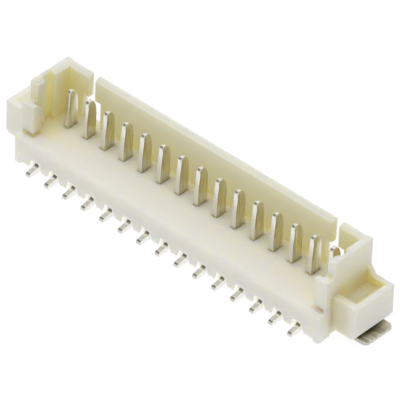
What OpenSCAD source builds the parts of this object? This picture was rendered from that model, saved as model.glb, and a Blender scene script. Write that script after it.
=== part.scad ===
// Surface-mount pin header: a shrouded single row of upright blades for a wire-to-board plug.
// X runs along the row, Y from the solder tails (front) to the back wall, Z up from the board.
// The origin lies on the board, under the middle of the contact row. All sizes are in millimetres.

/* [Contact row] */
// Number of contacts in the row
contact_count = 15; // [2:1:15]
// Distance between neighbouring contacts
pitch = 1.25; // [1.25:0.05:1.6]

/* [Base of the housing] */
// Front face of the base, in front of the contact line
base_front = 2.55; // [2.4:0.05:3]
// Back face of the housing, behind the contact line
base_back = 1.2; // [1.15:0.05:1.6]
// Outer face of an end wall, past the centre of the last contact
end_reach = 1.4; // [1.3:0.05:2]
// Height of the cavity floor above the board
floor_z = 1.65; // [1.5:0.05:2.2]
// Radius along the front top edge of the base
nose_r = 0.25; // [0.1:0.05:0.5]
// Gap between the board and the underside, between the corner feet
underside_gap = 0.15; // [0.05:0.01:0.2]
// Length of a corner foot along the row
foot_len = 0.35; // [0.3:0.05:0.9]
// Depth of a corner foot
foot_depth = 0.85; // [0.5:0.05:1.2]

/* [Teeth along the front edge] */
// Clear space beside a tail at the mouth of its notch
notch_gap = 0.28; // [0.15:0.01:0.32]
// Narrowing of the notch on each side, from mouth to top
notch_taper = 0.12; // [0:0.01:0.15]
// Height of the notches above the board
notch_z = 0.64; // [0.55:0.01:0.75]
// Depth of the notches behind the front face
notch_depth = 0.1; // [0.05:0.05:0.5]

/* [Walls of the housing] */
// Height of the walls above the board
wall_z = 4.5; // [4.2:0.05:5.5]
// Thickness of the back wall
back_wall = 0.37; // [0.32:0.01:0.5]
// Setback of the back wall from the back face of the base
back_setback = 0.06; // [0:0.01:0.1]
// Thickness of the end walls
end_wall = 0.5; // [0.45:0.05:0.7]
// Front edge of the end walls, in front of the contact line
end_wall_front = 1.53; // [1.4:0.01:1.8]
// Radius of the front top corner of the end walls
end_wall_r = 0.1; // [0.05:0.05:0.6]
// Width of the lead-in slope along the inner top edges
lead_in = 0.22; // [0.1:0.01:0.3]
// Drop of the lead-in slope
lead_in_drop = 0.14; // [0.05:0.01:0.3]

/* [Keying grooves in the end walls] */
// Depth of a groove
groove_depth = 0.3; // [0.1:0.01:0.35]
// Width of a groove
groove_w = 0.68; // [0.4:0.02:0.8]
// Back flank of a groove, in front of the contact line
groove_back = 0.25; // [0.1:0.01:0.5]

/* [Slots in the back wall] */
// Centre of a slot, inwards from the last contact
slot_inset = 0.65; // [0.3:0.05:0.7]
// Width of the narrow upper slot
slot_w = 0.42; // [0.2:0.02:0.6]
// Width of the window below it
window_w = 1.2; // [0.8:0.05:1.3]
// Height of the window's top edge above the board
window_z = 3.15; // [2.6:0.05:3.6]

/* [Front corner posts] */
// Front face of a post, in front of the contact line
post_front = 2.12; // [2:0.02:2.3]
// Length of a post along the row
post_len = 0.8; // [0.6:0.05:0.9]
// Height of a post above the board
post_z = 3.5; // [3:0.05:4]
// Depth of the lead-in slope on the cavity side of a post's top
post_lead = 0.3; // [0.1:0.02:0.4]
// Drop of that slope
post_lead_drop = 0.35; // [0.1:0.05:0.6]
// Height of the undercut at the foot of a post
undercut_h = 0.2; // [0.1:0.02:0.4]
// Sink of the undercut into the cavity floor
undercut_sink = 0.06; // [0.02:0.02:0.3]
// Margin of that sink around the post
undercut_margin = 0.04; // [0.02:0.02:0.12]
// Length of the post that stays joined to the base, beside the undercut
post_root = 0.15; // [0.1:0.01:0.3]

/* [End ears] */
// Length of an ear past the end wall
ear_len = 1.5; // [1.4:0.05:1.8]
// Front face of an ear, in front of the contact line
ear_front = 1.62; // [1.4:0.02:1.8]
// Height of the ear's underside above the board
ear_bottom = 0.5; // [0.4:0.02:0.7]
// Height of the ear's rim above the board
ear_top = 2.46; // [2.3:0.02:2.8]
// Chamfer along the ear's lower outer edge
ear_chamfer = 0.18; // [0.05:0.01:0.3]
// Height of the pocket's floor above the board
pocket_z = 2; // [1.9:0.02:2.2]
// Length of the pocket's flat floor past the end wall
pocket_flat = 0.7; // [0.4:0.05:0.9]
// Rim at the pocket's outer side
rim_outer = 0.28; // [0.15:0.01:0.4]
// Rim at the pocket's front
rim_front = 0.42; // [0.2:0.02:0.6]
// Rim at the pocket's back
rim_back = 0.32; // [0.2:0.02:0.5]
// Length of the gusset between the end wall and the back rim
gusset_len = 0.34; // [0.1:0.02:0.6]
// Height of the gusset above the rim
gusset_h = 0.48; // [0.2:0.02:0.8]

/* [Contacts] */
// Thickness of the contact strip, along the row
contact_t = 0.28; // [0.2:0.01:0.32]
// Depth of a blade at the cavity floor
blade_d = 0.69; // [0.5:0.01:0.72]
// Height of the blade tips above the board
blade_z = 3.78; // [3.5:0.02:4.1]
// Height above the floor at which the blade starts to taper
taper_start = 0.35; // [0.1:0.05:0.8]
// Setback of the front edge at the tip
front_taper = 0.15; // [0.05:0.01:0.2]
// Setback of the back edge at the tip
back_taper = 0.14; // [0.05:0.01:0.22]
// Length of the back edge's taper below the tip
back_taper_h = 0.85; // [0.5:0.05:1]
// Bevel at the front and back ends of the tip
tip_bevel = 0.08; // [0.02:0.01:0.08]
// Width of the rolled-over edge on the tip's right side
tip_side = 0.09; // [0.02:0.01:0.14]
// Height of that edge
tip_side_h = 0.3; // [0.1:0.02:0.5]
// Shoulder on each side of the pressed-in root
root_step = 0.12; // [0.05:0.01:0.2]
// Height of the root's shoulders above the board
shoulder_z = 1.15; // [0.9:0.05:1.3]
// Height of the bar between root and tail
bar_h = 0.48; // [0.42:0.01:0.52]
// Reach of the tail, in front of the contact line
tail_reach = 3.1; // [3:0.02:3.5]
// Height of the tail's top where it leaves the housing
heel_h = 0.35; // [0.3:0.01:0.4]
// Height of the tail's top at its end
tail_h = 0.24; // [0.18:0.01:0.3]
// Length of the steep bend from the bar down to the tail
tail_bend = 0.1; // [0.05:0.01:0.3]
// Radius at the tail's end
tail_r = 0.14; // [0.05:0.01:0.16]
// Clearance around a contact in the housing
contact_fit = 0.02; // [0.01:0.01:0.04]
// Extra clearance at the mouth of a blade's slot
mouth_gap = 0.03; // [0.02:0.01:0.08]
// Depth of that mouth below the cavity floor
mouth_depth = 0.12; // [0.05:0.01:0.2]

/* [Fitting nails] */
// Sheet thickness
nail_t = 0.2; // [0.15:0.01:0.25]
// Width of a nail
nail_w = 2.04; // [1.5:0.02:2.1]
// Front edge of a nail, in front of the contact line
nail_front = 1.04; // [0.9:0.02:1.2]
// Reach of the foot past the ear
nail_reach = 0.29; // [0.15:0.01:0.5]
// Inner face of the leg, past the end wall
leg_inset = 0.45; // [0.35:0.01:0.55]
// Height of the leg's top edge above the board
leg_z = 1.6; // [1.2:0.05:1.7]
// Inner radius of the bend
bend_r = 0.12; // [0.08:0.01:0.15]
// Corner cut at the outer end of the foot
foot_corner = 0.18; // [0.05:0.01:0.25]
// Clearance around a leg in its slot
nail_fit = 0.02; // [0.01:0.01:0.04]

/* [Hidden] */
row_half = (contact_count - 1) * pitch / 2;
end_x = row_half + end_reach;
ear_x = end_x + ear_len;
nail_x = ear_x + nail_reach;
wall_back = base_back - back_setback;
cavity_back = wall_back - back_wall;
root_d = blade_d + 2 * root_step;
leg_x = end_x + leg_inset;
nail_back = nail_w - nail_front;
cut = 1;
$fn = 48;

CONTACT_NAMES = [for (i = [1:contact_count]) str("contact_", i < 10 ? "0" : "", i)];

// Centre of contact number i, counted from the left
function contact_x(i) = (i - 1) * pitch - row_half;

// Extrudes a profile drawn in Y and Z along X, between two X positions
module along_x(x0, x1) translate([x0, 0, 0]) rotate([90, 0, 90]) linear_extrude(x1 - x0) children();

// Extrudes a profile drawn in X and Z along Y, between two Y positions
module along_y(y0, y1) translate([0, y1, 0]) rotate([90, 0, 0]) linear_extrude(y1 - y0) children();

// A box between two corners
module block(low, high) translate(low) cube(high - low);

// In a side view, what a rounding takes off at a front top corner
module corner_waste(corner, r) {
    difference() {
        translate(corner - [cut, r]) square(cut + r);
        translate(corner + [r, -r]) circle(r);
    }
}

// In a side view, what a bowed front edge takes off: it leans back by setback over its height
module bow_waste(foot, height, setback) {
    bow_r = (height * height + setback * setback) / (2 * setback);
    difference() {
        translate(foot - [cut, 0]) square([cut + setback, height + cut]);
        translate(foot + [bow_r, 0]) circle(bow_r, $fn = 360);
    }
}

// Draws its children at the right end and, mirrored, at the left end
module both_ends() {
    children();
    mirror([1, 0, 0]) children();
}

// The base, with its rounded front top edge
module base() {
    along_x(-end_x, end_x)
        difference() {
            translate([-base_front, 0]) square([base_front + base_back, floor_z]);
            corner_waste([-base_front, floor_z], nose_r);
        }
}

// The back wall, with a lead-in slope along its inner top edge
module back_wall_slab() {
    along_x(-end_x, end_x)
        polygon([[wall_back, 0], [wall_back, wall_z], [cavity_back + lead_in, wall_z],
                 [cavity_back, wall_z - lead_in_drop], [cavity_back, 0]]);
}

// The right end wall: its side view, with a rounded front corner, meets its section with the lead-in
module end_wall_slab() {
    intersection() {
        along_x(end_x - end_wall, end_x)
            difference() {
                translate([-end_wall_front, 0]) square([end_wall_front + base_back, wall_z]);
                corner_waste([-end_wall_front, wall_z], end_wall_r);
            }
        along_y(-end_wall_front, base_back)
            polygon([[end_x, 0], [end_x, wall_z], [end_x - end_wall + lead_in, wall_z],
                     [end_x - end_wall, wall_z - lead_in_drop], [end_x - end_wall, 0]]);
    }
}

// The right front corner post, which holds the plug's front face, with a slope that leads the plug in
module corner_post() {
    lead_y = -end_wall_front - post_lead;
    lead_z = post_z - post_lead_drop;
    difference() {
        block([end_x - post_len, -post_front, 0], [end_x, -end_wall_front, post_z]);
        along_x(end_x - post_len - cut, end_x - end_wall)
            polygon([[lead_y, post_z], [-end_wall_front, lead_z], [cut, lead_z], [cut, post_z + cut],
                     [lead_y, post_z + cut]]);
    }
}

// The right ear: a block with a pocket in its top and a gusset at its back
module ear() {
    difference() {
        along_y(-ear_front, base_back)
            polygon([[end_x - end_wall, ear_bottom], [ear_x - ear_chamfer, ear_bottom],
                     [ear_x, ear_bottom + ear_chamfer], [ear_x, ear_top], [end_x - end_wall, ear_top]]);
        along_y(rim_front - ear_front, base_back - rim_back)
            polygon([[end_x, pocket_z], [end_x + pocket_flat, pocket_z], [ear_x - rim_outer, ear_top],
                     [ear_x - rim_outer, ear_top + cut], [end_x, ear_top + cut]]);
    }
    along_y(base_back - rim_back, base_back)
        polygon([[end_x, ear_top], [end_x + gusset_len, ear_top], [end_x, ear_top + gusset_h]]);
}

// What is cut from the right end: keying groove, post undercut, back slot and the nail's slot
module end_cuts() {
    groove_x = end_x - end_wall + groove_depth;
    slot_x = row_half - slot_inset;
    block([end_x - end_wall - cut, -groove_back - groove_w, floor_z], [groove_x, -groove_back, wall_z + cut]);
    block([end_x - post_len - undercut_margin, -post_front - undercut_margin, floor_z - undercut_sink],
          [end_x - post_root, -end_wall_front, floor_z + undercut_h]);
    block([slot_x - slot_w / 2, cavity_back - cut, floor_z],
          [slot_x + slot_w / 2, base_back + cut, wall_z + cut]);
    block([slot_x - window_w / 2, cavity_back - cut, floor_z],
          [slot_x + window_w / 2, base_back + cut, window_z]);
    block([leg_x - nail_fit, -nail_front - nail_fit, ear_bottom - cut],
          [leg_x + nail_t + nail_fit, nail_back + nail_fit, leg_z]);
}

// The slot of one contact: a mouth, the blade's passage, the root's seat, the bar's channel and the notch
module contact_slot() {
    half_t = contact_t / 2 + contact_fit;
    half_d = blade_d / 2 + contact_fit;
    half_root = root_d / 2 + contact_fit;
    mouth_t = half_t + mouth_gap;
    mouth_d = half_d + mouth_gap;
    notch_half = contact_t / 2 + notch_gap;
    block([-mouth_t, -mouth_d, floor_z - mouth_depth], [mouth_t, mouth_d, floor_z + cut]);
    block([-half_t, -half_d, 0], [half_t, half_d, floor_z]);
    block([-half_t, -half_root, -cut], [half_t, half_root, shoulder_z]);
    block([-half_t, -base_front - cut, -cut], [half_t, 0, bar_h + contact_fit]);
    along_y(-base_front - cut, notch_depth - base_front)
        polygon([[-notch_half, -cut], [notch_half, -cut], [notch_half, underside_gap],
                 [notch_half - notch_taper, notch_z], [notch_taper - notch_half, notch_z],
                 [-notch_half, underside_gap]]);
}

// The clearance over the board, which leaves a foot at each corner of the base
module underside() {
    block([foot_len - end_x, -base_front - cut, -cut],
          [end_x - foot_len, base_back + cut, underside_gap]);
    block([-end_x - cut, foot_depth - base_front, -cut],
          [end_x + cut, base_back - foot_depth, underside_gap]);
}

// The moulded housing
module housing() {
    color("ivory")
        difference() {
            union() {
                base();
                back_wall_slab();
                both_ends() {
                    end_wall_slab();
                    corner_post();
                    ear();
                }
            }
            both_ends() end_cuts();
            underside();
            for (i = [1:contact_count])
                translate([contact_x(i), 0, 0]) contact_slot();
        }
}

// Side view of a contact: tail, bar, pressed-in root and tapered blade
module contact_profile() {
    front_z = floor_z + taper_start;
    back_z = blade_z - back_taper_h;
    heel_y = notch_depth - base_front;
    difference() {
        polygon([[root_d / 2, 0], [root_d / 2, shoulder_z], [blade_d / 2, shoulder_z], [blade_d / 2, blade_z],
                 [-blade_d / 2, blade_z], [-blade_d / 2, shoulder_z], [-root_d / 2, shoulder_z],
                 [-root_d / 2, bar_h], [heel_y + tail_bend, bar_h], [heel_y, heel_h],
                 [tail_r - tail_reach, tail_h], [-tail_reach, tail_h], [-tail_reach, 0]]);
        bow_waste([-blade_d / 2, front_z], blade_z - front_z, front_taper);
        mirror([1, 0]) bow_waste([-blade_d / 2, back_z], back_taper_h, back_taper);
        tip_waste(front_taper - blade_d / 2);
        mirror([1, 0]) tip_waste(back_taper - blade_d / 2);
        corner_waste([-tail_reach, tail_h], tail_r);
    }
}

// In the side view, the bevel at the tip's front end
module tip_waste(y) {
    polygon([[y - tip_bevel, blade_z - 2 * tip_bevel], [y + tip_bevel, blade_z],
             [y + tip_bevel, blade_z + cut], [y - tip_bevel, blade_z + cut]]);
}

// One contact, with its tip rolled over on the right side, as blanking leaves it
module contact() {
    color("silver")
        intersection() {
            along_x(-contact_t / 2, contact_t / 2) contact_profile();
            along_y(-tail_reach - cut, root_d)
                polygon([[-contact_t / 2, -cut], [contact_t / 2, -cut], [contact_t / 2, blade_z - tip_side_h],
                         [contact_t / 2 - tip_side, blade_z], [-contact_t / 2, blade_z]]);
        }
}

// Side view of the right fitting nail: leg, bend and foot
module nail_profile() {
    bend_x = leg_x + nail_t + bend_r;
    bend_z = nail_t + bend_r;
    translate([leg_x, bend_z]) square([nail_t, leg_z - bend_z]);
    translate([bend_x, 0]) square([nail_x - bend_x, nail_t]);
    difference() {
        translate([leg_x, 0]) square(bend_z);
        mirror([0, 1]) corner_waste([leg_x, 0], bend_z);
        translate([bend_x, bend_z]) circle(bend_r);
    }
}

// The right fitting nail, with the outer corners of its foot cut
module fitting_nail() {
    color("gainsboro")
        intersection() {
            along_y(-nail_front, nail_back) nail_profile();
            linear_extrude(leg_z)
                polygon([[end_x, -nail_front], [nail_x - foot_corner, -nail_front],
                         [nail_x, foot_corner - nail_front], [nail_x, nail_back - foot_corner],
                         [nail_x - foot_corner, nail_back], [end_x, nail_back]]);
        }
}

housing();
for (i = [1:contact_count])
    translate([contact_x(i), 0, 0]) contact();
mirror([1, 0, 0]) fitting_nail();  // fitting_nail_left
fitting_nail();  // fitting_nail_right
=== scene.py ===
# %% [markdown]
# # A surface-mount pin header, dressed for its picture
#
# The part is a connector about as long as a thumb is wide: an ivory nylon shroud, a row of flat
# tin-plated blades, and a small solder tab under each end. The solids come from the packed CAD model.
# This script gives them their moulded and stamped edges, their finishes, a camera and soft light.

# %% Load the frame
import math

import bmesh
import bpy
from mathutils import Matrix, Vector


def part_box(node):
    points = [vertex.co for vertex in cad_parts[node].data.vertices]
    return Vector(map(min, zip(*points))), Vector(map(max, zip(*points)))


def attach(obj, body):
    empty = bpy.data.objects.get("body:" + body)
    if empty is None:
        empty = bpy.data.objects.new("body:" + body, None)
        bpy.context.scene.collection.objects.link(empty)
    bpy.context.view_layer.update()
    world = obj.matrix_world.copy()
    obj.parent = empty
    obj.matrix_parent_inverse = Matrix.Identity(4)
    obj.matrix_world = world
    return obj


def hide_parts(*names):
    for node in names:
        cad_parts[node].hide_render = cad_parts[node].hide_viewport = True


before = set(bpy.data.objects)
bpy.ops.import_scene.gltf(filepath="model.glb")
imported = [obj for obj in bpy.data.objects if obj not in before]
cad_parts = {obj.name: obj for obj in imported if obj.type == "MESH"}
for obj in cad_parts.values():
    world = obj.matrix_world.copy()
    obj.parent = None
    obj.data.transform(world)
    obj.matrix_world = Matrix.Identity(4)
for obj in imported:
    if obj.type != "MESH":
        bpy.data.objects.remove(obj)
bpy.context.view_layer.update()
MM = 0.001

# %% [markdown]
# ## Places on the part
#
# A finish changes from place to place, and so do the light and shade painted into it: tin is bright on a
# tail and painted dark where the tail enters the shroud. Those places could be typed in as coordinates, but
# most of them can be measured on the CAD nodes, and then they follow the model. Only the few depths that no
# node's box shows are written here.


# %% Places in millimetres, measured on the CAD nodes
def corners(node):
    """Lowest and highest corner of a CAD node, in millimetres."""
    return [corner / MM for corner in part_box(node)]


CONTACTS = sorted(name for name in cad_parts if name.startswith("contact_"))
NAILS = sorted(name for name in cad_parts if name.startswith("fitting_nail_"))
CONTACT_XS = [sum(corner.x for corner in corners(name)) / 2 for name in CONTACTS]
TAIL_END_Y = corners(CONTACTS[0])[0].y

FLOOR_Z = 1.65
EAR_LENGTH, EAR_FRONT_Y, EAR_TOP_Z = 1.5, -1.62, 2.46
NOTCH_DEPTH, NOTCH_TOP_Z, NOTCH_HALF = 0.1, 0.64, 0.42
shroud_low, shroud_high = corners("housing")
FRONT_Y = shroud_low.y
NOTCH_BACK_Y = FRONT_Y + NOTCH_DEPTH
END_X = shroud_high.x - EAR_LENGTH
ROW_END_X = max(CONTACT_XS) + NOTCH_HALF
print(len(CONTACTS), "contacts, tails to", round(TAIL_END_Y, 2), "mm, end walls at", round(END_X, 2), "mm")

# %% [markdown]
# ## Writing shader maths as expressions
#
# A finish is mostly arithmetic on masks. Adding every Math node by hand hides that arithmetic, so one
# small class wraps a socket: an expression such as `1 - mask * 0.5` adds the nodes that it needs, and
# `Shade.node` makes any other node from its settings and its inputs.


# %% A socket that does arithmetic
class Shade:
    """A node socket of one material's tree, with operators that add Math nodes."""

    def __init__(self, tree, socket):
        self.tree, self.socket = tree, socket

    def node(self, kind, settings, inputs, output=0):
        made = self.tree.nodes.new(kind)
        for name, value in settings.items():
            setattr(made, name, value)
        for name, value in inputs.items():
            if isinstance(value, Shade):
                self.tree.links.new(value.socket, made.inputs[name])
            else:
                made.inputs[name].default_value = value
        return Shade(self.tree, made.outputs[output])

    def math(self, operation, *inputs):
        return self.node("ShaderNodeMath", {"operation": operation}, dict(enumerate(inputs)))

    def __add__(self, other):
        return self.math("ADD", self, other)

    def __sub__(self, other):
        return self.math("SUBTRACT", self, other)

    def __rsub__(self, other):
        return self.math("SUBTRACT", other, self)

    def __mul__(self, other):
        return self.math("MULTIPLY", self, other)

    __radd__ = __add__
    __rmul__ = __mul__

    def blend(self, low, high):
        """A colour that goes from low to high as this value goes from 0 to 1."""
        settings = {"data_type": "RGBA", "clamp_factor": True}
        colours = [c if isinstance(c, Shade) else (*c, 1) for c in (low, high)]
        return self.node("ShaderNodeMix", settings, {0: self, 6: colours[0], 7: colours[1]}, output=2)

    def ramp(self, start, end):
        """0 below start, 1 above end, smooth between."""
        settings = {"interpolation_type": "SMOOTHSTEP"}
        return self.node("ShaderNodeMapRange", settings, {"Value": self, "From Min": start, "From Max": end})

    def noise(self, scale, detail, stretch=(1, 1, 1)):
        """Noise over the surface; scale is in cycles per metre."""
        place = self.node("ShaderNodeMapping", {}, {"Vector": self, "Scale": stretch})
        return self.node("ShaderNodeTexNoise", {}, {"Vector": place, "Scale": scale, "Detail": detail})

    def axis(self, index):
        """One coordinate of this position, in millimetres: 0 along the row, 1 to the back, 2 up."""
        return self.node("ShaderNodeSeparateXYZ", {}, {"Vector": self}, output=index) * (1 / MM)

    def openness(self, reach, samples, **settings):
        """1 where nothing stands within reach, in millimetres, and 0 where all is hemmed in."""
        settings["samples"] = samples
        return self.node("ShaderNodeAmbientOcclusion", settings, {"Distance": reach * MM}, output=1)

    def relief(self, strength, depth):
        """A normal that shows this value as relief; depth is in millimetres."""
        return self.node("ShaderNodeBump", {}, {"Strength": strength, "Distance": depth * MM, "Height": self})


print("Shade has", len([name for name in vars(Shade) if not name.startswith("__")]), "named methods")

# %% [markdown]
# ## Starting a finish
#
# Every finish starts from one Principled shader. Values that stay the same go straight into its sockets.
# Values that change over the surface are linked, and only to sockets that can be baked to a texture.


# %% Two helpers for finishes
def new_finish(name, **constants):
    """A material with one Principled shader: returns it, its shader node and its Object coordinates."""
    material = bpy.data.materials.new(name)
    material.use_nodes = True
    tree = material.node_tree
    shader = tree.nodes["Principled BSDF"]
    for socket, value in constants.items():
        shader.inputs[socket.replace("_", " ")].default_value = value
    coordinates = tree.nodes.new("ShaderNodeTexCoord")
    return material, shader, Shade(tree, coordinates.outputs["Object"])


def feed(shader, **links):
    """Links values that change over the surface to the shader's sockets."""
    for socket, value in links.items():
        value.tree.links.new(value.socket, shader.inputs[socket.replace("_", " ")])


print("finish helpers ready")

# %% [markdown]
# ## Camera
#
# The photograph was taken from far away with a long lens, from the front right and above. The angles
# and the distance come from fitting the model's contact pitch to the blade tips and the solder tails.

# %% The camera
AZIMUTH, ELEVATION, ROLL = map(math.radians, (40.966, 38.865, 2.467))
CAMERA_DISTANCE = 377.3 * MM
FOCAL_PIXELS, IMAGE_PIXELS, SENSOR = 7669.0, 400, 36.0
AIM = Vector((0, 0, 2.0)) * MM
AIM_RIGHT, AIM_UP = -0.023 * MM, -0.182 * MM


def direction(bearing, height):
    """A unit vector at a bearing, turned to the right from straight in front, and a height above level."""
    level = math.cos(height)
    return Vector((math.sin(bearing) * level, -math.cos(bearing) * level, math.sin(height)))


back = direction(AZIMUTH, ELEVATION)
level_right = Vector((math.cos(AZIMUTH), math.sin(AZIMUTH), 0))
level_up = back.cross(level_right)
right = math.cos(ROLL) * level_right + math.sin(ROLL) * level_up
up = math.cos(ROLL) * level_up - math.sin(ROLL) * level_right

camera = bpy.data.objects.new("camera", bpy.data.cameras.new("camera"))
bpy.context.collection.objects.link(camera)
camera.data.sensor_width = SENSOR
camera.data.lens = FOCAL_PIXELS / IMAGE_PIXELS * SENSOR
camera.data.clip_start, camera.data.clip_end = 0.01, 10
eye = AIM + AIM_RIGHT * right + AIM_UP * up + CAMERA_DISTANCE * back
camera.matrix_world = Matrix.Translation(eye) @ Matrix((right, up, back)).transposed().to_4x4()
bpy.context.scene.camera = camera
print("lens", round(camera.data.lens, 1), "mm, eye", [round(c, 4) for c in eye])

# %% [markdown]
# ## Softening the edges
#
# No moulded or stamped edge is sharp. A Bevel modifier would work on the loose triangles of a CAD mesh
# only after a weld, and it would round the tiny clearances inside the contact slots too. So each node
# gets a merged copy, in millimetres so that the operators' tolerances suit it, and only the edges that
# `wanted` picks are bevelled. Smooth shading alone would smear those narrow bevels over the long flat
# faces, so a Weighted Normal modifier lets the big faces decide.


# %% A softened copy of a CAD node
SHARP, CREASE, FLAT = math.radians(20), math.radians(35), math.radians(1)
WELD = 0.0005


def softened(node, radius, segments, wanted=lambda a, b: True):
    """Makes a piece that stands for a CAD node, with its sharp edges rounded; radius is in millimetres."""
    mesh = bpy.data.meshes.new(node + "_soft")
    bm = bmesh.new()
    bm.from_mesh(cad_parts[node].data)
    bmesh.ops.scale(bm, vec=(1 / MM,) * 3, verts=bm.verts)
    bmesh.ops.remove_doubles(bm, verts=bm.verts, dist=WELD)
    bmesh.ops.dissolve_limit(bm, angle_limit=FLAT, verts=bm.verts, edges=bm.edges)
    sharp = [e for e in bm.edges if e.is_manifold and e.calc_face_angle() > SHARP]
    sharp = [e for e in sharp if wanted(*(v.co for v in e.verts))]
    bmesh.ops.bevel(bm, geom=sharp, offset=radius, offset_type="OFFSET", affect="EDGES",
                    segments=segments, profile=0.5, material=-1, clamp_overlap=True)
    bmesh.ops.triangulate(bm, faces=[f for f in bm.faces if len(f.verts) > 4])
    bmesh.ops.scale(bm, vec=(MM,) * 3, verts=bm.verts)
    for face in bm.faces:
        face.smooth = True
    bm.to_mesh(mesh)
    bm.free()
    mesh.set_sharp_from_angle(angle=CREASE)
    piece = bpy.data.objects.new(node + "_soft", mesh)
    bpy.context.collection.objects.link(piece)
    piece.modifiers.new("flat_faces_stay_flat", "WEIGHTED_NORMAL").keep_sharp = True
    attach(piece, "root")
    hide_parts(node)
    print(piece.name, len(sharp), "edges softened,", len(mesh.polygons), "faces")
    return piece


# %% [markdown]
# ## The pieces
#
# The shroud's outer edges are rounded by 0.06 mm, as a mould leaves them, and so are the teeth of its
# front edge. The slots that hold the contacts keep their sharp clearances. The contacts are blanked from
# strip, so their rims are only just broken, and so are those of the nails, bent from thinner sheet.

# %% Shroud, contacts and nails
SLOT_HALF_X, SLOT_HALF_Y = 0.45, 0.55
MOULD_RADIUS, STAMP_RADIUS = 0.06, 0.025
NEAR = 0.05


def outside_the_slots(a, b):
    """True for an edge of the shroud that lies clear of the contact slots and of the channels under it."""
    middle = (a + b) / 2
    off_centre = min(abs(middle.x - x) for x in CONTACT_XS)
    in_slot = off_centre < SLOT_HALF_X and middle.z < FLOOR_Z + NEAR and abs(middle.y) < SLOT_HALF_Y
    in_channel = middle.z < NOTCH_TOP_Z + NEAR and abs(middle.x) < END_X - NEAR and middle.y > FRONT_Y + NEAR
    return not (in_slot or in_channel)


shroud = softened("housing", MOULD_RADIUS, 3, outside_the_slots)
contacts = [softened(name, STAMP_RADIUS, 2) for name in CONTACTS]
nails = [softened(name, STAMP_RADIUS, 2) for name in NAILS]

# %% [markdown]
# ## Ivory nylon: where its colour and its painted shade change
#
# Natural nylon lets some light in. It looks near white where light falls on it directly, golden in the
# recesses, which light reaches only through the plastic, and a little greener where a wall is thin. Here
# that shade is painted into the base colour, and occlusion finds where: measured outwards it gives the
# recesses, and measured inwards it gives the thin walls. Close to the white paper the plastic is lit from
# below, so it is painted paler there. Occlusion alone makes the painted shade in the left ear's pocket and
# the post undercuts too golden and the right end wall too yellow for the photograph, so masks by position
# hold it back there.

# %% Masks for the nylon
PALE_Z, FULL_COLOUR_Z = 0.5, 1.0
nylon, shader, spot = new_finish(
    "ivory_nylon", IOR=1.53, Subsurface_Weight=1.0, Subsurface_Radius=(1.0, 0.85, 0.35),
    Subsurface_Scale=0.8 * MM, Emission_Strength=1.0)
x, y, z = (spot.axis(index) for index in range(3))
# Painted light: near the paper the nylon is painted paler, and the painted recess shade fades out there.
above_painted_bounce = z.ramp(PALE_Z, FULL_COLOUR_Z)
# Painted shade: hollows, the floor beside the blades and their feet take a golden shade in the colour.
hollow = 1 - spot.openness(4.0, 16, only_local=True).ramp(0.2, 0.95)
near = spot.openness(0.8, 8)
on_the_floor = 1 - z.ramp(FLOOR_Z + 0.05, FLOOR_Z + 0.15)
by_a_blade = 0.45 - 0.45 * near.ramp(0.4, 0.95)
at_a_foot = on_the_floor * (0.5 - 0.5 * near.ramp(0.6, 1.0))
right_of_left_ear = x.ramp(-END_X - 0.15, -END_X + 0.05)
undercut = (1 - y.ramp(EAR_FRONT_Y - 0.2, EAR_FRONT_Y)) * (1 - z.ramp(FLOOR_Z + 0.3, FLOOR_Z + 0.5))
recess_shade = spot.math("MAXIMUM", hollow, spot.math("MAXIMUM", by_a_blade, at_a_foot))
recess_shade = recess_shade * above_painted_bounce * right_of_left_ear * (1 - 0.75 * undercut)
# Painted shade: thin walls are painted greener and darker, less so on the right end wall.
thin_wall_shade = 1 - spot.openness(1.0, 16, only_local=True, inside=True).ramp(0.1, 0.35)
thin_wall_shade = thin_wall_shade * (1 - 0.7 * x.ramp(END_X - 0.8, END_X - 0.5))
print("nylon masks take", len(nylon.node_tree.nodes), "nodes")

# %% [markdown]
# ## Ivory nylon: shaded places and bright notches
#
# Three places need a mask of their own. The right ear and the left corner post are darker in the
# photograph than the lamp here makes them, so shade is painted into their colour. The notches at the tails
# are brighter: they are close to the paper, and their teeth are thin, so light shines through. A lamp
# can't reach in there without lighting the whole front, so the notches get a faint painted glow instead.

# %% Masks for the right ear, the left post and the notches
beside_the_wall = x.ramp(END_X - 0.25, END_X + 0.05) - x.ramp(END_X + 0.65, END_X + 1.45)
shaded_ear = beside_the_wall * y.ramp(EAR_FRONT_Y - 0.3, EAR_FRONT_Y - 0.1)
shaded_ear = shaded_ear * (1 - z.ramp(EAR_TOP_Z - 0.06, EAR_TOP_Z + 0.74))
in_the_corner = right_of_left_ear * (1 - x.ramp(-END_X + 0.8, -END_X + 1.1)) * z.ramp(FLOOR_Z, FLOOR_Z + 0.2)
shaded_post = in_the_corner * (1 - y.ramp(EAR_FRONT_Y + 0.3, EAR_FRONT_Y + 0.6))
in_notch = y.ramp(FRONT_Y + 0.01, FRONT_Y + 0.07) - y.ramp(NOTCH_BACK_Y + 0.03, NOTCH_BACK_Y + 0.09)
in_notch = in_notch * (1 - z.ramp(NOTCH_TOP_Z - 0.02, NOTCH_TOP_Z + 0.08))
glow = in_notch * (1 - spot.math("ABSOLUTE", x).ramp(ROW_END_X + 0.2, ROW_END_X + 0.4))
print("masks for the shaded and bright places added,", len(nylon.node_tree.nodes), "nodes")

# %% [markdown]
# ## Ivory nylon: the finish
#
# The masks blend a few colours: painted paler light near the paper, and painted shade in the recesses, on
# thin walls, on the right ear and on the left post. Subsurface scattering then softens the shading, as light
# does that spreads inside nylon, and a faint cloudiness and a fine mould texture keep the big faces from
# looking like paint.

# %% The nylon finish
colour = above_painted_bounce.blend((0.95, 0.94, 0.87), thin_wall_shade.blend((0.91, 0.885, 0.83), (0.84, 0.81, 0.68)))
# The golden painted shade of the recesses.
colour = recess_shade.blend(colour, (0.94, 0.84, 0.43))
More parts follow.
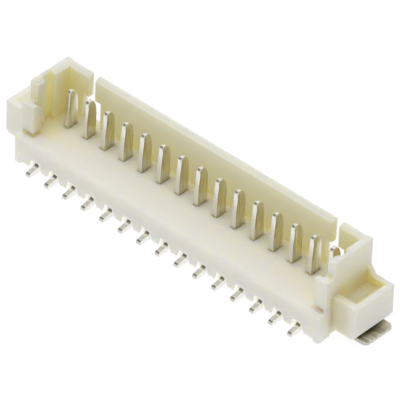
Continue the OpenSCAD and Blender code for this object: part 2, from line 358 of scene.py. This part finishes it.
# Painted shade on the right ear and on the side of the left post.
colour = (shaded_ear * 0.45).blend(colour, (0.68, 0.61, 0.39))
colour = (shaded_post * 0.3).blend(colour, (0.64, 0.61, 0.56))
mottle = spot.noise(900, 4)
# The notches get a painted glow through Emission Color.
feed(shader, Base_Color=(mottle * 0.2).blend(colour, (0.84, 0.82, 0.72)), Roughness=0.36 + 0.12 * mottle,
     Emission_Color=glow.blend((0, 0, 0), (0.34, 0.335, 0.29)), Normal=spot.noise(9000, 5).relief(0.08, 0.02))
shroud.data.materials.append(nylon)
print("nylon nodes:", len(nylon.node_tree.nodes))

# %% [markdown]
# ## Tin on the blanked edges
#
# A contact is blanked from strip and then plated, so the faces that look along the row are rolled sheet
# and all the others are cut edges: the front of a blade, its tip and the top of a tail. The photograph
# shows a tail dark where it goes into the shroud, in the shadow of the notch, and that shadow is painted
# into the colour. It shows the rounded end dark too, most towards its top, and that is a painted dark
# reflection. Masks by height and depth put both in place.

# %% The tin of the edges
TAIL_TOP, BLADE_FOOT = 0.5, 0.9
tin, shader, spot = new_finish("contact_tin", Metallic=1.0)
y, z = spot.axis(1), spot.axis(2)
tail = 1 - z.ramp(TAIL_TOP, BLADE_FOOT)
# Painted shadow where the tail goes into the notch.
root = tail * y.ramp(NOTCH_BACK_Y - 0.13, NOTCH_BACK_Y - 0.03)
# Painted dark reflection at the rounded end of a tail, strongest towards its top.
painted_dark_end = (1 - y.ramp(TAIL_END_Y + 0.04, TAIL_END_Y + 0.14)) * (0.1 + 0.6 * z.ramp(0.03, 0.13))
grain = spot.noise(2500, 4, (1, 1, 0.08))
cloud = spot.noise(1200, 3)
plate = (cloud * 0.6).blend(tail.blend((0.80, 0.79, 0.73), (0.94, 0.935, 0.91)), (0.76, 0.74, 0.67))
plate = painted_dark_end.blend(plate, (0.42, 0.41, 0.37))
feed(shader, Base_Color=root.blend(plate, (0.31, 0.29, 0.24)), Roughness=0.16 + 0.16 * grain,
     Normal=grain.relief(0.1, 0.01))
print("edge tin nodes:", len(tin.node_tree.nodes))

# %% [markdown]
# ## Tin on the rolled faces
#
# The broad faces of a blade have the satin grain of rolled strip, drawn upright here, and they mirror the
# golden recess around them. That golden reflection is also painted into their colour, to strengthen it;
# the tails, clear of the recess, keep a pale tin colour. A second material on the same piece is simplest:
# each face takes it by its direction, so no seam has to be marked.

# %% The tin of the rolled faces
SIDEWAYS = 0.9
rolled, shader, spot = new_finish("rolled_tin", Metallic=1.0)
z = spot.axis(2)
grain = spot.noise(9000, 4, (1, 1, 0.1))
cloud = spot.noise(1500, 3)
# Painted reflection: the blade faces are golden, like the recess that they mirror.
plate = grain.ramp(0.35, 0.65).blend((0.82, 0.785, 0.63), (0.64, 0.60, 0.45))
plate = (cloud * 0.5).blend(plate, (0.57, 0.53, 0.38))
feed(shader, Base_Color=z.ramp(TAIL_TOP, BLADE_FOOT).blend((0.86, 0.855, 0.82), plate),
     Roughness=0.2 + 0.2 * grain, Normal=grain.relief(0.15, 0.01))
for piece in contacts:
    piece.data.materials.append(tin)
    piece.data.materials.append(rolled)
    for face in piece.data.polygons:
        face.material_index = int(abs(face.normal.x) > SIDEWAYS)
print(sum(p.material_index for p in contacts[0].data.polygons), "rolled faces on a contact")

# %% [markdown]
# ## Tin on the fitting nails
#
# The top face of a nail's foot lies close under the ear. It shows streaks that run out from the part, and
# it lies in black shadow in the narrow gap. The streaks are a noise stretched along X, an occlusion mask
# with a short reach paints that shadow black into the colour, and the cut rim is a plain grey.

# %% The tin of the nails
NAIL_TOP_Z = 0.2
sheet, shader, spot = new_finish("nail_tin", Metallic=1.0)
z = spot.axis(2)
grain = spot.noise(5000, 4, (0.15, 1, 1))
plate = grain.ramp(0.36, 0.64).blend((0.66, 0.63, 0.52), (0.38, 0.35, 0.26))
plate = z.ramp(NAIL_TOP_Z - 0.08, NAIL_TOP_Z - 0.02).blend((0.62, 0.61, 0.57), plate)
# Painted shadow: black in the narrow gap under the ear.
clear = spot.openness(0.8, 8).ramp(0.18, 0.55)
feed(shader, Base_Color=clear.blend((0.05, 0.045, 0.035), plate), Roughness=0.25 + 0.25 * grain,
     Normal=grain.relief(0.15, 0.01))
for piece in nails:
    piece.data.materials.append(sheet)
print("nail tin on", len(nails), "pieces")

# %% [markdown]
# ## The tent and the paper
#
# The part stands on white paper in a bright tent, so light comes from everywhere and the background is
# pure white. The world and the paper could simply be brighter, but then the part would be too. A Light
# Path node lets them be white to the camera and in reflections, and dimmer as a source of light.

# %% World and floor
TENT_LIGHT = 0.42
PAPER_GLOW, PAPER_WHITE, PAPER_STRENGTH, PAPER_HALF = 0.55, 0.9, 1.04, 2
bpy.context.scene.view_settings.view_transform = "Standard"


def seen_directly(tree):
    """1 for rays that show the background: from the camera, a mirror or glass."""
    path = tree.nodes.new("ShaderNodeLightPath")
    camera_ray, glossy_ray, glass_ray = (
        Shade(tree, path.outputs[n]) for n in ("Is Camera Ray", "Is Glossy Ray", "Is Transmission Ray"))
    return camera_ray.math("MAXIMUM", camera_ray, glossy_ray.math("MAXIMUM", glossy_ray, glass_ray))


world = bpy.data.worlds.new("tent")
bpy.context.scene.world = world
world.use_nodes = True
tent = world.node_tree.nodes["Background"]
strength = TENT_LIGHT + (1 - TENT_LIGHT) * seen_directly(world.node_tree)
world.node_tree.links.new(strength.socket, tent.inputs["Strength"])
tent.inputs["Color"].default_value = (1, 1, 1, 1)


def stage_piece(name, bm):
    """Turns a bmesh into an object that isn't part of the connector."""
    mesh = bpy.data.meshes.new(name)
    bm.to_mesh(mesh)
    bm.free()
    made = bpy.data.objects.new(name, mesh)
    bpy.context.collection.objects.link(made)
    return made


bm = bmesh.new()
bmesh.ops.create_grid(bm, x_segments=1, y_segments=1, size=PAPER_HALF)
floor = stage_piece("floor", bm)
paper, shader, spot = new_finish("white_paper", Base_Color=(0.94, 0.94, 0.94, 1), Roughness=0.9)
share = PAPER_GLOW + (PAPER_WHITE - PAPER_GLOW) * seen_directly(paper.node_tree)
bright = spot.node("ShaderNodeEmission", {}, {"Color": (1, 1, 1, 1), "Strength": PAPER_STRENGTH})
lit = Shade(paper.node_tree, shader.outputs[0])
mixed = spot.node("ShaderNodeMixShader", {}, {0: share, 1: lit, 2: bright})
paper.node_tree.links.new(mixed.socket, paper.node_tree.nodes["Material Output"].inputs["Surface"])
floor.data.materials.append(paper)
print("tent and paper ready")

# %% [markdown]
# ## The softbox
#
# One large softbox hangs over the part, a little to the left. It gives the floor of the shroud its
# brightness and the walls their soft shade. It isn't shown in reflections, because a lamp mirrored in the
# tails would burn out the bends that the photograph shows dark.

# %% The softbox overhead
KEY_OFFSET, KEY_SIZE, KEY_POWER = Vector((-30, -15, 205)), 220, 0.225
lamp = bpy.data.lights.new("key", "AREA")
lamp.shape, lamp.size, lamp.energy = "DISK", KEY_SIZE * MM, KEY_POWER
softbox = bpy.data.objects.new("key", lamp)
bpy.context.collection.objects.link(softbox)
softbox.location = AIM + KEY_OFFSET * MM
softbox.rotation_euler = KEY_OFFSET.to_track_quat("Z", "Y").to_euler()
softbox.visible_glossy = False
print("softbox", KEY_SIZE, "mm wide at", [round(c, 3) for c in softbox.location])

# %% [markdown]
# ## The flag
#
# Polished metal in an all-white tent looks like white plastic. Photographers hang a dark card, a flag,
# where the metal can mirror it. This one darkens the blade tips and the rounded ends of the tails. It is
# shown in reflections only, so it takes no light from the nylon.

# %% The flag
FLAG_BEARING, FLAG_HEIGHT = math.radians(-59), math.radians(52)
FLAG_DISTANCE, FLAG_RADIUS = 900, 520
towards = direction(FLAG_BEARING, FLAG_HEIGHT)
bm = bmesh.new()
bmesh.ops.create_circle(bm, cap_ends=True, segments=32, radius=FLAG_RADIUS * MM)
bmesh.ops.transform(bm, matrix=towards.to_track_quat("Z", "Y").to_matrix().to_4x4(), verts=bm.verts)
bmesh.ops.translate(bm, vec=towards * FLAG_DISTANCE * MM, verts=bm.verts)
flag = stage_piece("flag", bm)
flag.visible_camera = flag.visible_diffuse = flag.visible_shadow = False
felt = new_finish("dark_felt", Base_Color=(0.32, 0.30, 0.24, 1), Roughness=1.0)[0]
flag.data.materials.append(felt)
print("flag", FLAG_RADIUS * 2, "mm wide,", FLAG_DISTANCE, "mm away")

# %% [markdown]
